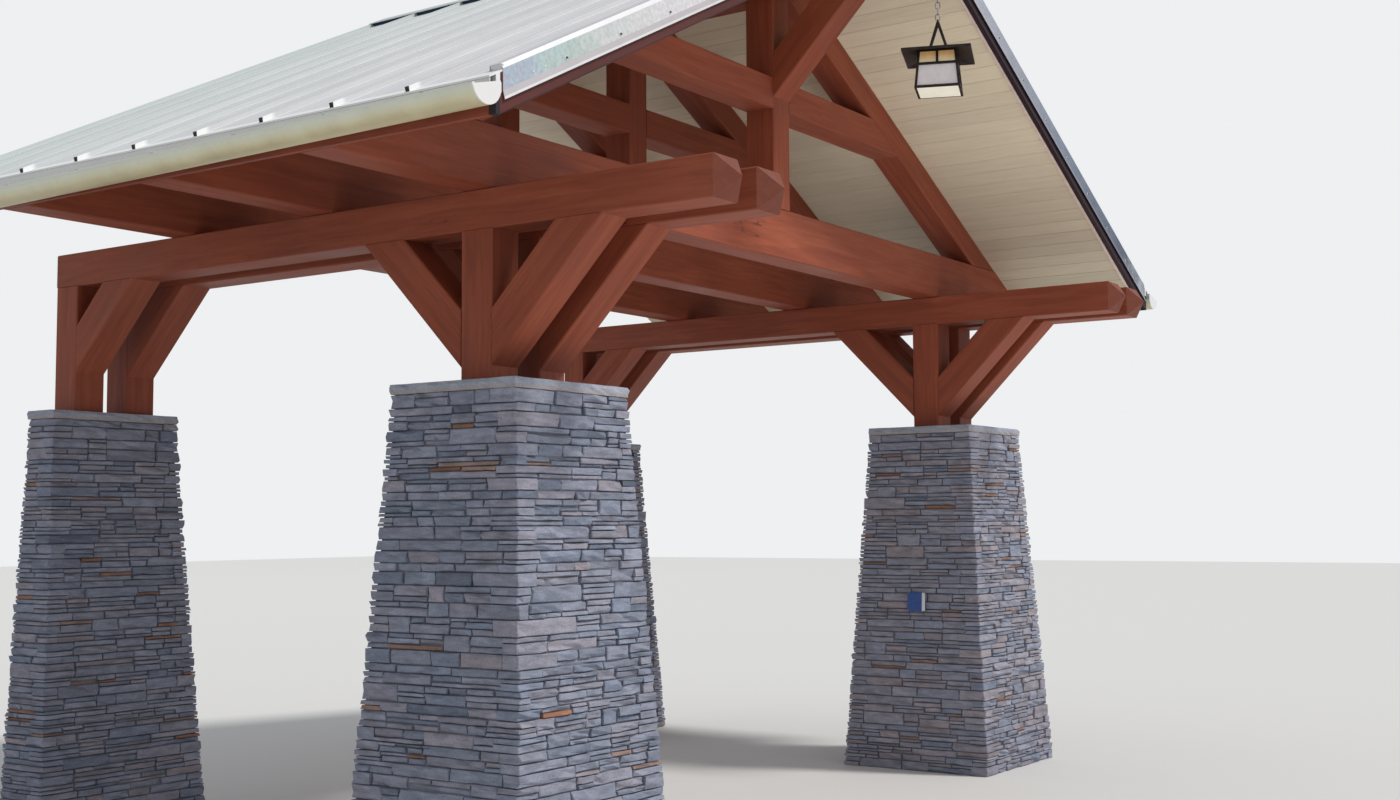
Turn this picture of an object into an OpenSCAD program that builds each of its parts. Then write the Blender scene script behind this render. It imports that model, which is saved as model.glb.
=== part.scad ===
// Gabled porch canopy on four tapered stone piers, cut off plainly where it meets the wall.
// Origin: ground level, half-way across and half-way from the beam points to the wall.
// X runs across the gable, +Y towards the wall, +Z up. Millimetres.

/* [Plan] */
// Distance from the points of the beams to the wall
canopy_depth = 4860; // [4600:10:6500]
// Distance across the outer faces of the two pairs of beams
beam_spread = 5400; // [4400:20:6600]
// Distance from the beam points back to the front faces of the front posts
front_reach = 1380; // [1100:10:1600]
// Distance that the roof edge stands out in front of the front posts
rake_overhang = 1000; // [700:10:1200]

/* [Stone piers] */
// Height of the stone shaft of a pier
shaft_height = 2380; // [1800:10:2800]
// Width of the shaft at the ground
shaft_base_width = 1150; // [1000:10:1250]
// Depth of the shaft at the ground
shaft_base_depth = 1130; // [1000:10:1250]
// Width of the shaft under its cap
shaft_top_width = 865; // [780:5:880]
// Depth of the shaft under its cap
shaft_top_depth = 805; // [740:5:810]
// Width of the cap
cap_width = 885; // [880:5:960]
// Depth of the cap
cap_depth = 815; // [810:5:900]
// Thickness of the cap
cap_height = 50; // [40:5:80]
// Distance that a pier's middle stands outside the middle of its posts
pier_shift = 20; // [0:5:60]
// Chamfer round the top of the cap
cap_chamfer = 8; // [4:1:15]
// Distance that a rear cap stands out in front of the wall
rear_cap_reach = 260; // [230:10:400]

/* [Timber posts and beams] */
// Side of the square posts and beams
timber = 200; // [160:5:240]
// Chamfer along the edges of the timbers
arris = 6; // [2:1:12]
// Gap between the two timbers of a pair
pair_gap = 160; // [100:5:220]
// Height of the posts between the cap and the beams
post_height = 750; // [650:10:1000]
// Length of the pointed end of a beam
point_length = 90; // [60:5:140]
// Height of the lower edge of a front brace above the cap
front_brace_foot = 80; // [40:5:160]
// Height of the lower edge of a rear brace above the cap
rear_brace_foot = 230; // [60:5:260]
// Depth of a brace, square to its length
brace_depth = 200; // [160:5:220]
// Angle of the braces above level
brace_angle = 45; // [40:1:50]

/* [Roof trusses] */
// Number of trusses
truss_count = 3; // [2:1:3]
// Distance from one truss to the next
truss_pitch = 1110; // [1000:10:1250]
// Thickness of the truss timbers
truss_thickness = 200; // [160:5:240]
// Height of the bottom chord
chord_height = 310; // [240:5:360]
// Depth of a rafter, square to its length
rafter_depth = 185; // [150:5:220]
// Width of a king post
king_width = 190; // [150:5:220]
// Height of a collar
collar_height = 195; // [150:5:240]
// Height from the chord up to the collar
collar_rise = 620; // [500:10:760]
// Width of the ridge beam
ridge_beam_width = 200; // [160:5:240]
// Distance from the peak of the ceiling down to the underside of the ridge beam
ridge_beam_drop = 295; // [260:5:340]
// Distance of the ridge brace's lower edge below the ridge beam, at the king post
ridge_brace_drop = 650; // [520:10:720]

/* [Roof] */
// Rise of the roof in 12 of run
roof_rise = 6.2; // [5.6:0.1:7]
// Distance from the ridge to the outer face of the eave board
roof_run = 3790; // [3500:10:4300]
// Distance from the eave board to the lower edge of the metal sheets
drip_reach = 40; // [20:5:60]
// Thickness of the ceiling boards
ceiling_thickness = 20; // [15:1:30]
// Thickness of the roof structure over the ceiling boards
deck_thickness = 125; // [90:1:180]
// Thickness of the sheets
sheet_thickness = 8; // [4:1:12]
// Distance from one rib of the sheets to the next
rib_pitch = 445; // [300:5:600]
// Height of a rib
rib_height = 22; // [16:1:40]
// Width of a rib at its foot
rib_foot = 22; // [19:1:40]
// Width of a rib at its top
rib_crest = 14; // [10:1:18]
// Thickness of the eave boards
eave_board = 25; // [18:1:40]
// Distance that an eave board reaches below the ceiling boards
eave_board_drop = 8; // [4:1:20]
// Thickness of the wooden rake boards
rake_board = 38; // [25:1:50]
// Depth of the metal trim on the rake boards, square to the roof
rake_trim_depth = 133; // [110:1:170]
// Thickness of the rake trim
rake_trim_thickness = 3; // [2:1:6]
// Height of the bevelled top edge of the rake trim
rake_bevel_height = 19; // [12:1:30]
// Setback of the bevelled top edge at its top
rake_bevel_setback = 8; // [4:1:14]
// Height of the flared lower lip of the rake trim
rake_lip_height = 34; // [20:1:60]
// Distance that the lower lip flares out
rake_lip_flare = 11; // [4:1:16]
// Distance that a rake trim ends before the lower edge of the sheets
rake_trim_setback = 80; // [0:10:120]
// Width of the rake trim on top of the sheets
rake_flange = 70; // [50:5:100]
// Width of one leg of the ridge cap
ridge_cap_leg = 170; // [120:5:240]
// Thickness of the ridge cap
ridge_cap_thickness = 5; // [3:1:8]

/* [Gutters] */
// Outer radius of the half-round gutters
gutter_radius = 85; // [65:5:100]
// Wall of the gutters
gutter_wall = 4; // [3:1:6]
// Height of the gutter rim above the foot of the eave board
gutter_rim = 100; // [95:1:120]
// Height of the flat back of the gutters
gutter_back = 40; // [30:5:50]
// Radius of the rolled front edge of a gutter
gutter_bead = 8; // [6:1:12]
// Distance that a gutter stands out in front of the roof edge
gutter_reach = 15; // [0:5:30]
// Fall of a gutter towards the wall
gutter_fall = 50; // [0:5:70]
// Height of a gutter's front rim below the middle of its curve
gutter_front_drop = 19; // [0:1:30]
// Height of a gutter's back rim above the middle of its curve
gutter_back_rise = 28; // [16:1:40]

/* [Hanging lantern] */
// Distance of the lantern's centre in front of the roof edge
lantern_reach = 85; // [60:5:120]
// Turn of the lantern on its chain
lantern_turn = 21.5; // [0:0.5:45]
// Diameter of the chain wire
chain_wire = 6; // [5:0.5:7]
// Outer length of a chain link
link_length = 48; // [42:1:60]
// Outer width of a chain link
link_width = 32; // [28:1:38]
// Number of chain links
link_count = 9; // [7:1:10]
// Play between two chain links
link_play = 0.3; // [0.1:0.1:0.6]
// Side of the lantern's roof plate
lantern_plate = 400; // [360:10:440]
// Height of the lantern's roof
lantern_roof_height = 62; // [40:2:80]
// Height of the lantern's forked hanger above its roof
hanger_height = 142; // [110:2:180]
// Distance across the feet of the hanger
hanger_spread = 150; // [120:2:200]
// Width of the hanger's flat bar
hanger_bar = 16; // [10:1:20]
// Height of the lantern's body below its roof
lantern_body = 206; // [180:2:260]
// Side of the lantern's body at its top
lantern_top = 222; // [190:2:250]
// Side of the lantern's body at its foot
lantern_foot = 266; // [252:2:320]
// Distance of the upper panes' sill below the rim of the lantern's roof
lantern_sill = 68; // [50:2:90]
// Side of the lantern's bars
lantern_bar = 14; // [8:1:16]
// Thickness of the lantern's glass
lantern_glass_wall = 4; // [3:1:5]

/* [Hidden] */

stone_colour = "#8b8d92";
cap_colour = "#9b9da0";
timber_colour = "#8a4a33";
ceiling_colour = "#c9bda2";
sheet_colour = "#c3ccc6";
trim_colour = "#b4c0be";
gutter_colour = "#c8c2a6";
bronze_colour = "#2c2624";
glass_colour = "#efe6cc";

// Places along Y
tip_y = -canopy_depth / 2;
wall_y = canopy_depth / 2;
post_y = tip_y + front_reach;
rear_post_y = wall_y - timber;
rake_y = post_y - rake_overhang;
board_y = rake_y + rake_lip_flare + rake_trim_thickness;
deck_y = board_y + rake_board;
front_pier_y = post_y + timber / 2;
rear_pier_y = wall_y - rear_cap_reach + cap_depth / 2;

// Places along X
outer_x = beam_spread / 2;
inner_x = outer_x - 2 * timber - pair_gap;
pier_x = outer_x - timber - pair_gap / 2 + pier_shift;

// Heights
cap_z = shaft_height + cap_height;
beam_z = cap_z + post_height;
chord_z = beam_z + timber;
chord_top_z = chord_z + chord_height;

// Roof slope, and the ceiling plane that the chords and rafters carry
slope = roof_rise / 12;
pitch = atan(slope);
plumb = 1 / cos(pitch);
eave_x = roof_run - eave_board;
tail_end = 25;
tail_x = eave_x - tail_end;
tail_height = 14;
peak_z = chord_z + tail_height + slope * tail_x;
deck_lift = ceiling_thickness * plumb;
sheet_lift = deck_lift + deck_thickness * plumb;
pan_lift = sheet_lift + sheet_thickness * plumb;
crest_lift = pan_lift + rib_height * plumb;
ridge_beam_z = peak_z - ridge_beam_drop;
rafter_drop = rafter_depth * plumb;
rib_sink = 2;
rib_ridge_gap = 10;
closure_thickness = 14;
closure_setback = 30;
seat = 0.3;
ridge_joint = 1;

// Lantern, hung from an eye plate under the ridge beam
lantern_y = rake_y - lantern_reach;
eye_plate = 8;
eye_plate_width = 60;
eye_radius = 9;
eye_z = ridge_beam_z - eye_plate / 2 - eye_radius;
link_step = link_length - 2 * chain_wire - link_play;
chain_top_z = eye_z - eye_radius - link_length / 2 + 1.5 * chain_wire + link_play;
chain_foot_z = chain_top_z - (link_count - 1) * link_step;
ring_radius = 9;
ring_wire = 8;
ring_seat = 5;
ring_z = chain_foot_z - link_length / 2 + chain_wire + link_play + ring_wire / 2 - ring_radius;
lantern_peak_z = ring_z - ring_radius - ring_seat - hanger_height;
lantern_rim_z = lantern_peak_z - lantern_roof_height;
lantern_foot_z = lantern_rim_z - lantern_body;
lantern_sheet = 4;
lantern_neck = 24;
lantern_lip = 16;
hollow_foot = lantern_plate / 2 - lantern_sheet;
hollow_head = lantern_neck - lantern_sheet;
hollow_height = lantern_roof_height - 2 * lantern_sheet;
hollow_share = (hollow_foot - lantern_top / 2) / (hollow_foot - hollow_head);
lantern_head_z = lantern_rim_z + hollow_height * hollow_share + seat;
glass_head_z = lantern_head_z - lantern_bar / 2;

// Height of the ceiling plane at a distance x from the ridge
function ceiling_z(x) = peak_z - slope * x;
// Distance from the ridge at which the ceiling plane, lowered by drop, has the height z
function ceiling_x(z, drop = 0) = (peak_z - drop - z) / slope;

// An outline in X and Z, drawn out along Y from y0 to y1
module along_y(y0, y1) {
    translate([0, y1, 0])
        rotate([90, 0, 0])
            linear_extrude(height = y1 - y0)
                children();
}

// An outline in Y and Z, drawn out along X from x0 to x1
module along_x(x0, x1) {
    translate([x0, 0, 0])
        rotate([90, 0, 90])
            linear_extrude(height = x1 - x0)
                children();
}

// Rectangle between two corners with chamfered corners
module timber_section(x0, z0, x1, z1) {
    polygon([[x0 + arris, z0], [x1 - arris, z0], [x1, z0 + arris], [x1, z1 - arris], [x1 - arris, z1],
             [x0 + arris, z1], [x0, z1 - arris], [x0, z0 + arris]]);
}

// The same piece on the other side of the ridge
module on_side(side) {
    if (side < 0)
        mirror([1, 0, 0]) children();
    else
        children();
}

// Both sides of the ridge
module on_both_sides() {
    children();
    mirror([1, 0, 0]) children();
}

// Tapered shaft round y, cut off at the wall
module shaft(y) {
    base_x = shaft_base_width / 2;
    base_y = shaft_base_depth / 2;
    top_x = shaft_top_width / 2;
    top_y = shaft_top_depth / 2;
    back = min(y + base_y, wall_y);
    intersection() {
        along_y(y - base_y, back)
            polygon([[pier_x - base_x, 0], [pier_x + base_x, 0], [pier_x + top_x, shaft_height],
                     [pier_x - top_x, shaft_height]]);
        along_x(pier_x - base_x, pier_x + base_x)
            polygon([[y - base_y, 0], [y + base_y, 0], [y + top_y, shaft_height], [y - top_y, shaft_height]]);
    }
}

// Flat cap with a chamfered top edge, cut off at the wall
module cap(y) {
    half_x = cap_width / 2;
    half_y = cap_depth / 2;
    edge_x = half_x - cap_chamfer;
    edge_y = half_y - cap_chamfer;
    shoulder = cap_z - cap_chamfer;
    back = min(y + half_y, wall_y);
    back_edge = back < wall_y ? back - cap_chamfer : back;
    intersection() {
        along_y(y - half_y, back)
            polygon([[pier_x - half_x, shaft_height], [pier_x + half_x, shaft_height], [pier_x + half_x, shoulder],
                     [pier_x + edge_x, cap_z], [pier_x - edge_x, cap_z], [pier_x - half_x, shoulder]]);
        along_x(pier_x - half_x, pier_x + half_x)
            polygon([[y - half_y, shaft_height], [back, shaft_height], [back, shoulder], [back_edge, cap_z],
                     [y - edge_y, cap_z], [y - half_y, shoulder]]);
    }
}

// The two posts on a pier
module pair_of_posts(y) {
    for (x = [inner_x, outer_x - timber])
        translate([x, y, cap_z])
            linear_extrude(height = post_height)
                timber_section(0, 0, timber, timber);
}

// Sloping bar with its lower edge through y and z, cut off by a post at y and by what it holds up at top
module brace(x0, x1, y, z, top, lean) {
    run = (top - z) / tan(brace_angle);
    length = (run + brace_depth) / cos(brace_angle);
    intersection() {
        translate([0, y, z])
            mirror([0, lean < 0 ? 1 : 0, 0])
                rotate([brace_angle, 0, 0])
                    along_y(-length, length)
                        timber_section(x0, 0, x1, brace_depth);
        translate([x0, lean < 0 ? y - run : y, z])
            cube([x1 - x0, run, top - z]);
    }
}

// Pair of braces under a pair of beams, rise above the cap; lean is 1 towards the wall and -1 away from it
module pair_of_braces(y, lean, rise) {
    for (x = [inner_x, outer_x - timber])
        brace(x, x + timber, y, cap_z + rise, beam_z, lean);
}

// Braces before and behind the front posts
module front_braces() {
    pair_of_braces(post_y, -1, front_brace_foot);
    pair_of_braces(post_y + timber, 1, front_brace_foot);
}

// Beam from the wall to its four-sided point, with its inner face at x
module pointed_beam(x) {
    shoulder = tip_y + point_length;
    intersection() {
        along_x(x, x + timber)
            polygon([[wall_y, beam_z], [wall_y, chord_z], [shoulder, chord_z], [tip_y, beam_z + timber / 2],
                     [shoulder, beam_z]]);
        along_y(tip_y, wall_y)
            timber_section(x, beam_z, x + timber, chord_z);
        translate([0, 0, beam_z])
            linear_extrude(height = timber)
                polygon([[x, wall_y], [x, shoulder], [x + timber / 2, tip_y], [x + timber, shoulder],
                         [x + timber, wall_y]]);
    }
}

// Front face of a truss, counted from the front
function truss_y(i) = post_y + i * truss_pitch;

// Bottom chord, which lies on the beams; its tails run out under the ceiling boards
module chord(i) {
    shoulder = ceiling_x(chord_top_z);
    y = truss_y(i);
    intersection() {
        along_y(y, y + truss_thickness)
            polygon([[-tail_x, chord_z], [tail_x, chord_z], [tail_x, ceiling_z(tail_x)], [shoulder, chord_top_z],
                     [-shoulder, chord_top_z], [-tail_x, ceiling_z(tail_x)]]);
        along_x(-tail_x, tail_x)
            timber_section(y, chord_z, y + truss_thickness, chord_top_z);
    }
}

// Pair of rafters from the chord to the sides of the ridge beam
module rafters(i) {
    butt = ridge_beam_width / 2;
    y = truss_y(i);
    length = peak_z / sin(pitch);
    on_both_sides()
        intersection() {
            translate([0, 0, peak_z])
                rotate([0, pitch, 0])
                    along_x(-length, length)
                        timber_section(y, -rafter_depth, y + truss_thickness, 0);
            translate([butt, y, chord_top_z])
                cube([tail_x, truss_thickness, peak_z - chord_top_z]);
        }
}

// King post from the chord to the ridge beam
module king_post(i) {
    translate([-king_width / 2, truss_y(i), chord_top_z])
        linear_extrude(height = ridge_beam_z - chord_top_z)
            timber_section(0, 0, king_width, truss_thickness);
}

// Collar in two halves, between the king post and the rafters
module collar(i) {
    foot = chord_top_z + collar_rise;
    head = foot + collar_height;
    y = truss_y(i);
    on_both_sides()
        intersection() {
            along_y(y, y + truss_thickness)
                polygon([[king_width / 2, foot], [ceiling_x(foot, rafter_drop), foot],
                         [ceiling_x(head, rafter_drop), head], [king_width / 2, head]]);
            along_x(0, ceiling_x(foot, rafter_drop))
                timber_section(y, foot, y + truss_thickness, head);
        }
}

module king_posts() {
    color(timber_colour)
        for (i = [0 : truss_count - 1])
            king_post(i);
}

module collars() {
    color(timber_colour)
        for (i = [0 : truss_count - 1])
            collar(i);
}

// Ridge beam with a pointed end, its top cut to the two ceiling planes
module ridge_beam() {
    half = ridge_beam_width / 2;
    shoulder = tip_y + point_length;
    middle = ridge_beam_z + ridge_beam_drop / 2;
    color(timber_colour)
        intersection() {
            along_y(tip_y, wall_y)
                polygon([[-half, ridge_beam_z + arris], [arris - half, ridge_beam_z], [half - arris, ridge_beam_z],
                         [half, ridge_beam_z + arris], [half, ceiling_z(half)], [0, peak_z],
                         [-half, ceiling_z(half)]]);
            along_x(-half, half)
                polygon([[wall_y, ridge_beam_z], [wall_y, peak_z], [shoulder, peak_z], [tip_y, middle],
                         [shoulder, ridge_beam_z]]);
            translate([0, 0, ridge_beam_z])
                linear_extrude(height = ridge_beam_drop)
                    polygon([[-half, wall_y], [-half, shoulder], [0, tip_y], [half, shoulder], [half, wall_y]]);
        }
}

// Brace from the front king post out to the ridge beam
module ridge_brace() {
    color(timber_colour)
        brace(-king_width / 2, king_width / 2, post_y, ridge_beam_z - ridge_brace_drop, ridge_beam_z, -1);
}

// One slope of a layer of the roof, between two heights over the ceiling plane
module roof_layer(y0, run, low, high) {
    along_y(y0, wall_y)
        polygon([[0, peak_z + low], [run, ceiling_z(run) + low], [run, ceiling_z(run) + high],
                 [0, peak_z + high]]);
}

module ceiling(side) {
    color(ceiling_colour)
        on_side(side)
            roof_layer(deck_y, eave_x, 0, deck_lift);
}

module roof_deck(side) {
    color("#9c8a70")
        on_side(side)
            roof_layer(deck_y, eave_x, deck_lift, sheet_lift);
}

// Cross-section of a rib, with its foot sunk a little into the sheet
module rib_section() {
    polygon([[-rib_foot / 2, -rib_sink], [rib_foot / 2, -rib_sink], [rib_foot / 2, 0], [rib_crest / 2, rib_height],
             [-rib_crest / 2, rib_height], [-rib_foot / 2, 0]]);
}

// Centres of the ribs, from the rake flange to the wall
rib_ys = [for (y = board_y + rib_pitch; y < wall_y - rib_foot / 2; y = y + rib_pitch) y];
rib_start = rib_height * tan(pitch) + rib_ridge_gap;
sheet_run = roof_run + drip_reach;

// Ribbed sheets of one slope
module roof_sheets(side) {
    color(sheet_colour)
        on_side(side)
            union() {
                roof_layer(board_y, sheet_run, sheet_lift, pan_lift);
                for (y = rib_ys)
                    translate([0, y, peak_z + pan_lift])
                        rotate([0, pitch, 0])
                            along_x(rib_start, sheet_run * plumb)
                                rib_section();
            }
}

// Upright strip between two ribs that closes the gap under the ridge cap, from y0 to y1 at its foot
module closure(y0, y1, lean0, lean1) {
    foot_x = ridge_cap_leg - closure_setback;
    translate([0, 0, peak_z + pan_lift])
        rotate([0, pitch, 0])
            along_x(foot_x - closure_thickness, foot_x)
                polygon([[y0, 0], [y1, 0], [y1 + lean1, rib_height + 1], [y0 - lean0, rib_height + 1]]);
}

// Ridge cap on the ribs, with closures between them
module ridge_cap() {
    leg = ridge_cap_leg * cos(pitch);
    under = peak_z + crest_lift;
    over = under + ridge_cap_thickness * plumb;
    lean = (rib_foot - rib_crest) / 2;
    last = len(rib_ys) - 1;
    color(sheet_colour)
        union() {
            along_y(board_y - rake_trim_thickness, wall_y)
                polygon([[-leg, under - slope * leg], [0, under], [leg, under - slope * leg],
                         [leg, over - slope * leg], [0, over], [-leg, over - slope * leg]]);
            on_both_sides() {
                closure(board_y + rake_flange, rib_ys[0] - rib_foot / 2, 0, lean);
                for (i = [1 : last])
                    closure(rib_ys[i - 1] + rib_foot / 2, rib_ys[i] - rib_foot / 2, lean, lean);
                closure(rib_ys[last] + rib_foot / 2, wall_y, lean, 0);
            }
        }
}

// Wooden board along each roof edge, from the ceiling plane to the sheets
module rake_boards() {
    joint = ridge_joint / 2;
    color(timber_colour)
        on_both_sides()
            along_y(board_y, deck_y)
                polygon([[joint, ceiling_z(joint)], [eave_x, ceiling_z(eave_x)],
                         [eave_x, ceiling_z(eave_x) + sheet_lift], [joint, ceiling_z(joint) + sheet_lift]]);
}

// Cross-section of the rake trim, its top at 0: a flange that stands on the sheets, a bevelled edge,
// a face against the rake board and a flared lip
module trim_section() {
    metal = rake_trim_thickness;
    lip = rake_lip_height - rake_trim_depth;
    polygon([[rake_flange, 0], [rake_bevel_setback, 0], [-metal, -rake_bevel_height], [-metal, lip],
             [-metal - rake_lip_flare, -rake_trim_depth], [-rake_lip_flare, -rake_trim_depth], [0, lip],
             [0, -rake_bevel_height], [rake_bevel_setback, -metal], [rake_flange - metal, -metal],
             [rake_flange - metal, -rib_height], [rake_flange, -rib_height]]);
}

// Folded metal trim of each roof edge, cut plumb at both ends
module rake_trims() {
    color(trim_colour)
        on_both_sides()
            intersection() {
                translate([0, board_y, peak_z + crest_lift])
                    rotate([0, pitch, 0])
                        along_x(-rake_trim_depth, sheet_run * plumb)
                            trim_section();
                translate([ridge_joint / 2, rake_y, 0])
                    cube([sheet_run - rake_trim_setback - ridge_joint / 2, canopy_depth, 2 * peak_z]);
            }
}

module eave_boards() {
    foot = ceiling_z(eave_x) - eave_board_drop;
    color(timber_colour)
        on_both_sides()
            along_y(board_y, wall_y)
                polygon([[eave_x, foot], [roof_run, foot], [roof_run, ceiling_z(roof_run) + sheet_lift],
                         [eave_x, ceiling_z(eave_x) + sheet_lift]]);
}

// Upright cut through a gutter's outside: a half circle whose rim rises towards the back
module gutter_outline() {
    intersection() {
        circle(r = gutter_radius, $fn = 72);
        polygon([[-gutter_radius, -gutter_radius], [gutter_radius, -gutter_radius],
                 [gutter_radius, -gutter_front_drop], [-gutter_radius, gutter_back_rise]]);
    }
}

// Half-round gutter on the eave board, falling towards the wall, with a rolled front edge and closed ends
module gutter(side) {
    centre_x = roof_run + gutter_radius;
    rim_z = ceiling_z(eave_x) - eave_board_drop + gutter_rim;
    front_y = rake_y - gutter_reach;
    length = wall_y - front_y - seat;
    end_plate = 4;
    color(gutter_colour)
        on_side(side)
            translate([centre_x, front_y, rim_z])
                rotate([-atan(gutter_fall / length), 0, 0])
                    union() {
                        along_y(0, length)
                            difference() {
                                gutter_outline();
                                circle(r = gutter_radius - gutter_wall, $fn = 72);
                            }
                        along_y(0, length)
                            translate([gutter_radius - gutter_bead, -gutter_front_drop])
                                circle(r = gutter_bead, $fn = 24);
                        translate([-gutter_radius, 0, -gutter_back / 2])
                            cube([gutter_wall, length, gutter_back]);
                        for (y = [0, length - end_plate])
                            along_y(y, y + end_plate)
                                gutter_outline();
                    }
}

// Chain link round the origin, long in Z: two half rings and two straight wires
module chain_link() {
    bend = (link_width - chain_wire) / 2;
    straight = link_length - link_width;
    for (turn = [0, 180])
        rotate([0, turn, 0])
            translate([0, 0, straight / 2])
                rotate([90, 0, 0])
                    rotate_extrude(angle = 180, $fn = 32)
                        translate([bend, 0])
                            circle(d = chain_wire, $fn = 16);
    for (x = [-bend, bend])
        translate([x, 0, -straight / 2])
            cylinder(d = chain_wire, h = straight, $fn = 16);
}

// Ring of wire round the origin, standing upright across Y
module ring(radius, wire) {
    rotate([90, 0, 0])
        rotate_extrude($fn = 32)
            translate([radius, 0])
                circle(d = wire, $fn = 16);
}

// Everything on the lantern's own turned axis
module at_lantern() {
    translate([0, lantern_y, 0])
        rotate([0, 0, lantern_turn])
            children();
}

// Chain from the eye plate under the ridge beam down to the ring of the lantern's roof
module lantern_chain() {
    color(bronze_colour)
        at_lantern() {
            for (i = [0 : link_count - 1])
                translate([0, 0, chain_top_z - i * link_step])
                    rotate([0, 0, (link_count - i) % 2 * 90])
                        chain_link();
            translate([0, 0, ridge_beam_z - eye_plate])
                cylinder(d = eye_plate_width, h = eye_plate, $fn = 48);
            translate([0, 0, eye_z])
                rotate([0, 0, (link_count + 1) % 2 * 90])
                    ring(eye_radius, chain_wire);
        }
}

// Square pyramid frustum between two heights, given by the half sides at foot and head
module frustum(foot_half, head_half, z0, z1) {
    intersection() {
        along_y(-foot_half - head_half, foot_half + head_half)
            polygon([[-foot_half, z0], [foot_half, z0], [head_half, z1], [-head_half, z1]]);
        along_x(-foot_half - head_half, foot_half + head_half)
            polygon([[-foot_half, z0], [foot_half, z0], [head_half, z1], [-head_half, z1]]);
    }
}

// Forked hanger across the lantern's roof, its two legs cut off inside the roof
module hanger() {
    top = lantern_peak_z + hanger_height + 2 * ring_seat;
    leg = hanger_bar;
    foot = hanger_spread / 2;
    along_x(-hanger_bar / 2, hanger_bar / 2)
        polygon([[-foot, lantern_rim_z], [-foot + leg, lantern_rim_z], [0, top - 2 * leg], [foot - leg, lantern_rim_z],
                 [foot, lantern_rim_z], [leg / 2, top], [-leg / 2, top]]);
}

// Low hipped roof with a lip, a hanger and a ring on top, hollow underneath
module lantern_roof() {
    half = lantern_plate / 2;
    color(bronze_colour)
        at_lantern() {
            difference() {
                union() {
                    translate([-half, -half, lantern_rim_z])
                        cube([2 * half, 2 * half, lantern_lip]);
                    frustum(half, lantern_neck, lantern_rim_z + lantern_lip, lantern_peak_z);
                    hanger();
                }
                frustum(hollow_foot, hollow_head, lantern_rim_z, lantern_rim_z + hollow_height);
            }
            translate([0, 0, ring_z])
                ring(ring_radius, ring_wire);
        }
}

// Half side of the lantern's body at a height
function body_half(z) =
    lantern_foot / 2 - (lantern_foot - lantern_top) / 2 * (z - lantern_foot_z) / (lantern_head_z - lantern_foot_z);

// Body of the lantern between two heights, made smaller by inset on each side
module body_part(z0, z1, inset) {
    frustum(body_half(z0) - inset, body_half(z1) - inset, z0, z1);
}

// Openings for the panes of two opposite sides: a large one below the sill and two above it
module pane_openings() {
    bar = lantern_bar;
    z0 = lantern_foot_z + bar;
    z1 = lantern_rim_z - lantern_sill;
    z2 = z1 + bar;
    z3 = lantern_head_z - bar;
    along_y(-lantern_foot, lantern_foot) {
        polygon([[bar - body_half(z0), z0], [body_half(z0) - bar, z0], [body_half(z1) - bar, z1],
                 [bar - body_half(z1), z1]]);
        for (side = [-1, 1])
            polygon([[side * bar / 2, z2], [side * (body_half(z2) - bar), z2], [side * (body_half(z3) - bar), z3],
                     [side * bar / 2, z3]]);
    }
}

// Corner bars, square rings and the bars of the upper panes
module lantern_frame() {
    color(bronze_colour)
        at_lantern()
            difference() {
                body_part(lantern_foot_z, lantern_head_z, 0);
                body_part(lantern_foot_z - 1, lantern_head_z + 1, lantern_bar);
                for (turn = [0, 90])
                    rotate([0, 0, turn])
                        pane_openings();
            }
}

// Glass box inside the bars, closed by its bottom pane
module lantern_glass() {
    color(glass_colour)
        at_lantern()
            difference() {
                body_part(lantern_foot_z, glass_head_z, lantern_bar);
                body_part(lantern_foot_z + lantern_glass_wall, glass_head_z, lantern_bar + lantern_glass_wall);
            }
}

module front_left_pier() {
    color(stone_colour)
        on_side(-1)
            shaft(front_pier_y);
}

module front_right_pier() {
    color(stone_colour)
        shaft(front_pier_y);
}

module rear_left_pier() {
    color(stone_colour)
        on_side(-1)
            shaft(rear_pier_y);
}

module rear_right_pier() {
    color(stone_colour)
        shaft(rear_pier_y);
}

module front_caps() {
    color(cap_colour)
        on_both_sides()
            cap(front_pier_y);
}

module rear_caps() {
    color(cap_colour)
        on_both_sides()
            cap(rear_pier_y);
}

module front_left_posts() {
    color(timber_colour)
        on_side(-1)
            pair_of_posts(post_y);
}

module rear_left_posts() {
    color(timber_colour)
        on_side(-1)
            pair_of_posts(rear_post_y);
}

module front_left_braces() {
    color(timber_colour)
        on_side(-1)
            front_braces();
}

module rear_left_braces() {
    color(timber_colour)
        on_side(-1)
            pair_of_braces(rear_post_y, -1, rear_brace_foot);
}

module left_outer_beam() {
    color(timber_colour)
        on_side(-1)
            pointed_beam(outer_x - timber);
}

module left_inner_beam() {
    color(timber_colour)
        on_side(-1)
            pointed_beam(inner_x);
}

module front_right_posts() {
    color(timber_colour)
        pair_of_posts(post_y);
}

module rear_right_posts() {
    color(timber_colour)
        pair_of_posts(rear_post_y);
}

module front_right_braces() {
    color(timber_colour)
        front_braces();
}

module rear_right_braces() {
    color(timber_colour)
        pair_of_braces(rear_post_y, -1, rear_brace_foot);
}

module right_outer_beam() {
    color(timber_colour)
        pointed_beam(outer_x - timber);
}

module right_inner_beam() {
    color(timber_colour)
        pointed_beam(inner_x);
}

module front_chord() {
    color(timber_colour)
        chord(0);
}

module front_rafters() {
    color(timber_colour)
        rafters(0);
}

module middle_chord() {
    color(timber_colour)
        chord(1);
}

module middle_rafters() {
    color(timber_colour)
        rafters(1);
}

module rear_chord() {
    color(timber_colour)
        chord(2);
}

module rear_rafters() {
    color(timber_colour)
        rafters(2);
}

module left_ceiling() {
    ceiling(-1);
}

module left_roof_deck() {
    roof_deck(-1);
}

module left_roof_sheets() {
    roof_sheets(-1);
}

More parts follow.
